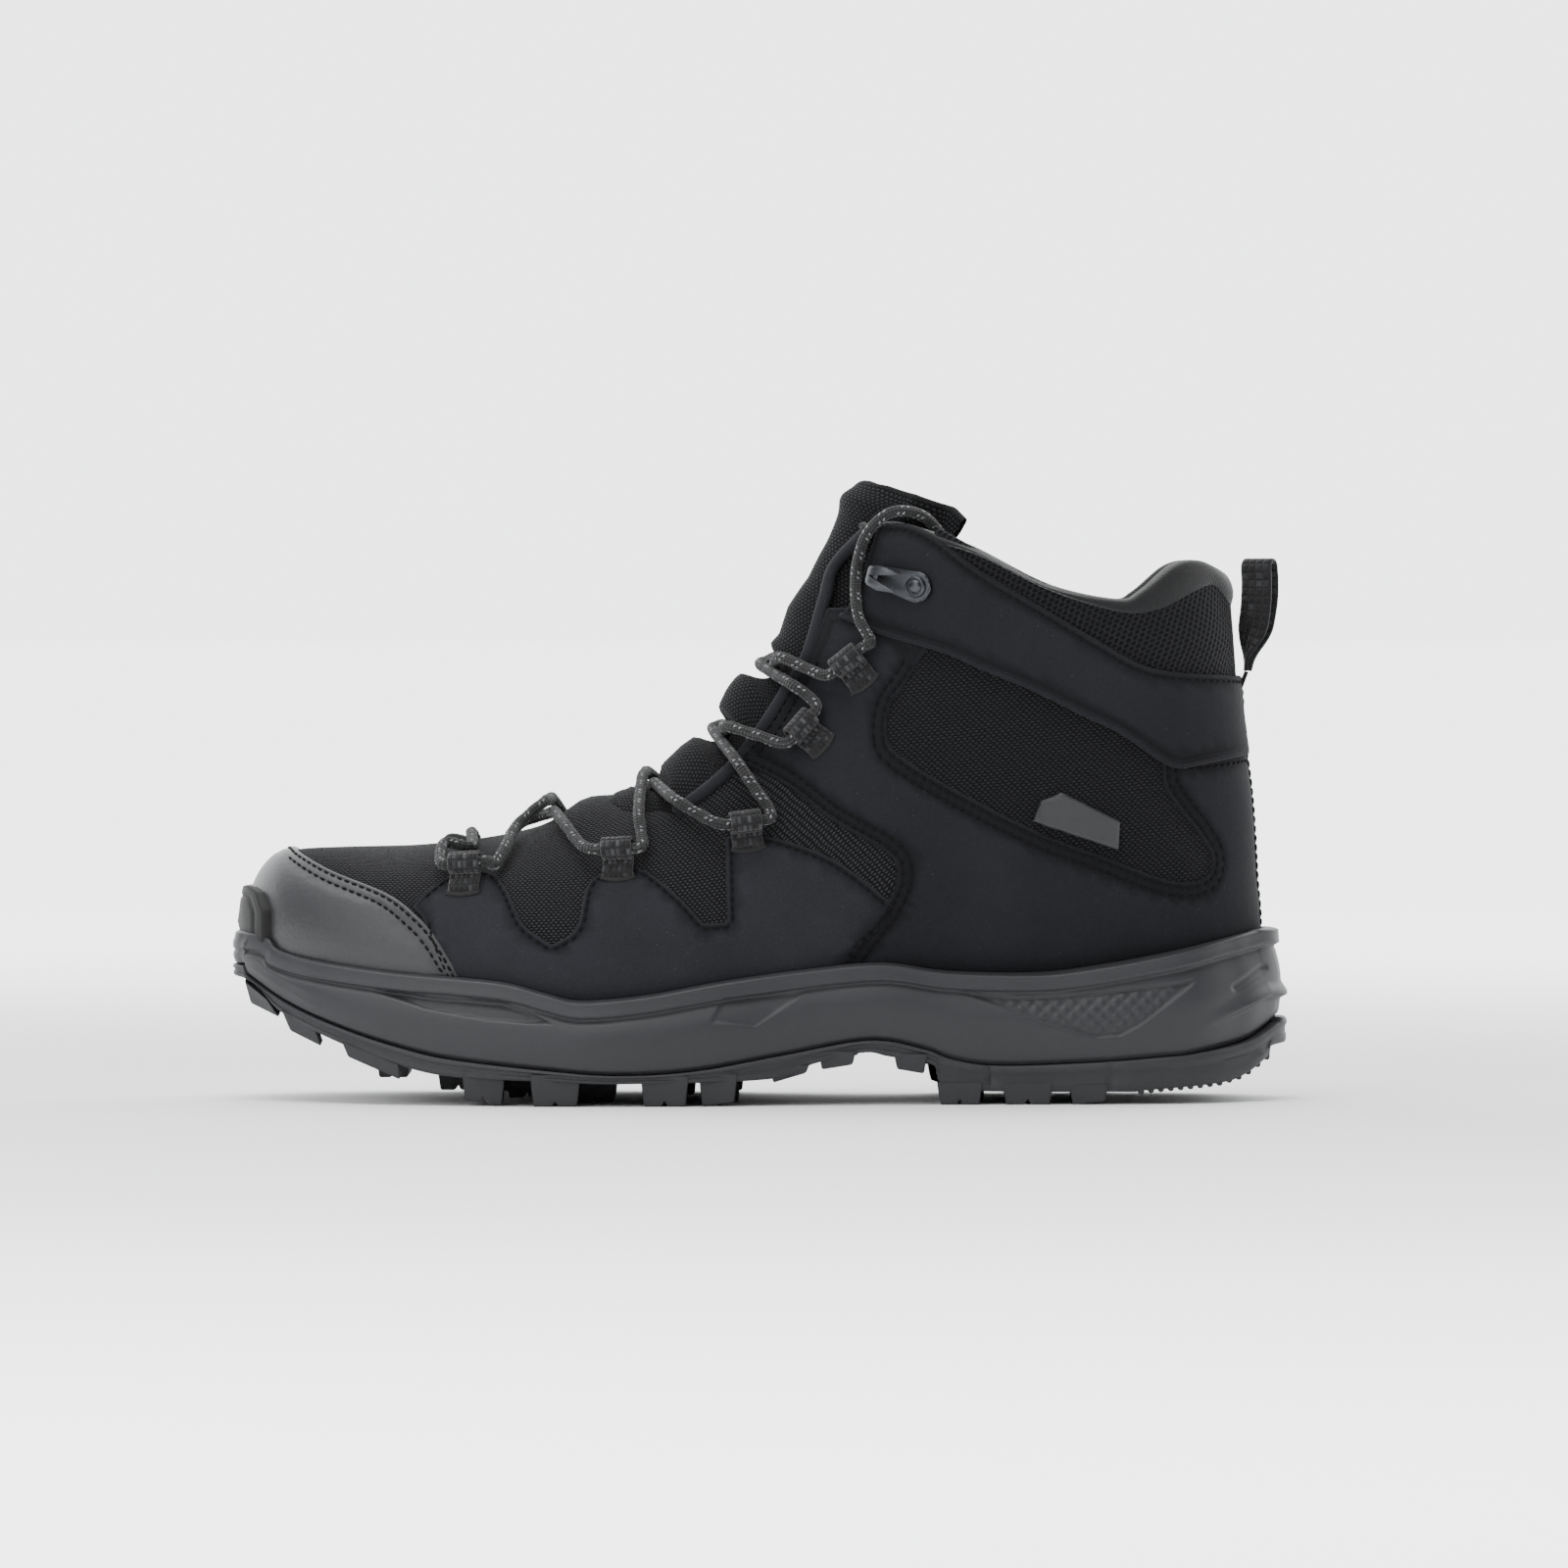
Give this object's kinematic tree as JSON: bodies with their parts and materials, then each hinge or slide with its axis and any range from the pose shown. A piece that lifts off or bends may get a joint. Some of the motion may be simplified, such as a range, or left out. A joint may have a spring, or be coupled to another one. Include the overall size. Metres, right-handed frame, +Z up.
{
  "type": "hiking boot",
  "caption": "Left mid-cut lace-up hiking boot with nubuck overlays, mesh panels, speed hooks, foam midsole and lugged rubber outsole.",
  "frame": {"origin": "on the ground under the middle of the sole's length and width", "axes": "+X from toe to heel, +Y towards the wearer's inner (medial) side, +Z up"},
  "size_m": [0.305, 0.1074, 0.1796],
  "materials": {
    "outsole_rubber": "matte moulded",
    "midsole_eva": "satin moulded foam",
    "spring_steel": "brushed",
    "fibre_board": "pressed fibre",
    "foam": "soft open-cell",
    "thermoplastic_sheet": "matte",
    "smooth_leather": "satin",
    "nubuck": "napped matte",
    "knit_mesh": "knitted",
    "spacer_mesh": "open spacer mesh",
    "lining_fabric": "brushed jersey",
    "woven_tape": "ribbed tape",
    "gunmetal": "dark satin",
    "lace_cord": "braided, flecked",
    "aglet_plastic": "gloss",
    "printed_tag": "satin"
  },
  "bodies": {
    "boot": {"outsole": "outsole_rubber", "toe_bumper": "outsole_rubber", "midsole": "midsole_eva", "shank": "spring_steel", "insole_board": "fibre_board", "footbed": "foam", "collar_foam": "foam", "toe_puff": "thermoplastic_sheet", "heel_counter": "thermoplastic_sheet", "toe_cap": "smooth_leather", "mudguard_lateral": "nubuck", "mudguard_medial": "nubuck", "quarter_lateral": "nubuck", "quarter_medial": "nubuck", "ankle_strap_lateral": "nubuck", "ankle_strap_medial": "nubuck", "eyestay_lateral": "nubuck", "eyestay_medial": "nubuck", "vamp_mesh": "knit_mesh", "tongue_lower": "knit_mesh", "ankle_mesh_lateral": "knit_mesh", "ankle_mesh_medial": "knit_mesh", "collar_mesh": "spacer_mesh", "lining": "lining_fabric", "collar_binding": "lining_fabric", "membrane_bootie": "lining_fabric", "lace_loop_lateral_1": "woven_tape", "lace_loop_lateral_2": "woven_tape", "lace_loop_lateral_3": "woven_tape", "lace_loop_lateral_4": "woven_tape", "lace_loop_lateral_5": "woven_tape", "lace_loop_medial_1": "woven_tape", "lace_loop_medial_2": "woven_tape", "lace_loop_medial_3": "woven_tape", "lace_loop_medial_4": "woven_tape", "lace_loop_medial_5": "woven_tape", "lace_hook_lateral": "gunmetal", "lace_hook_medial": "gunmetal", "hook_rivet_lateral": "gunmetal", "hook_rivet_medial": "gunmetal", "lace": "lace_cord", "lace_end_lateral": "lace_cord", "lace_end_medial": "lace_cord", "aglet_lateral": "aglet_plastic", "aglet_medial": "aglet_plastic", "side_label": "printed_tag"},
    "tongue_flap": {"tongue_upper": "knit_mesh"},
    "pull_tab": {"pull_loop": "woven_tape"}
  },
  "joints": [
    {"name": "tongue_fold", "type": "hinge", "parent": "boot", "child": "tongue_flap", "pos_m": [0.004, 0.003, 0.137], "axis": [0, -1, 0], "range_deg": [0, 12], "stiffness_Nm_per_rad": 0.3},
    {"name": "pull_loop_swing", "type": "hinge", "parent": "boot", "child": "pull_tab", "pos_m": [0.1426, 0.003, 0.1245], "axis": [0, 1, 0], "range_deg": [0, 70], "stiffness_Nm_per_rad": 0.02}
  ]
}
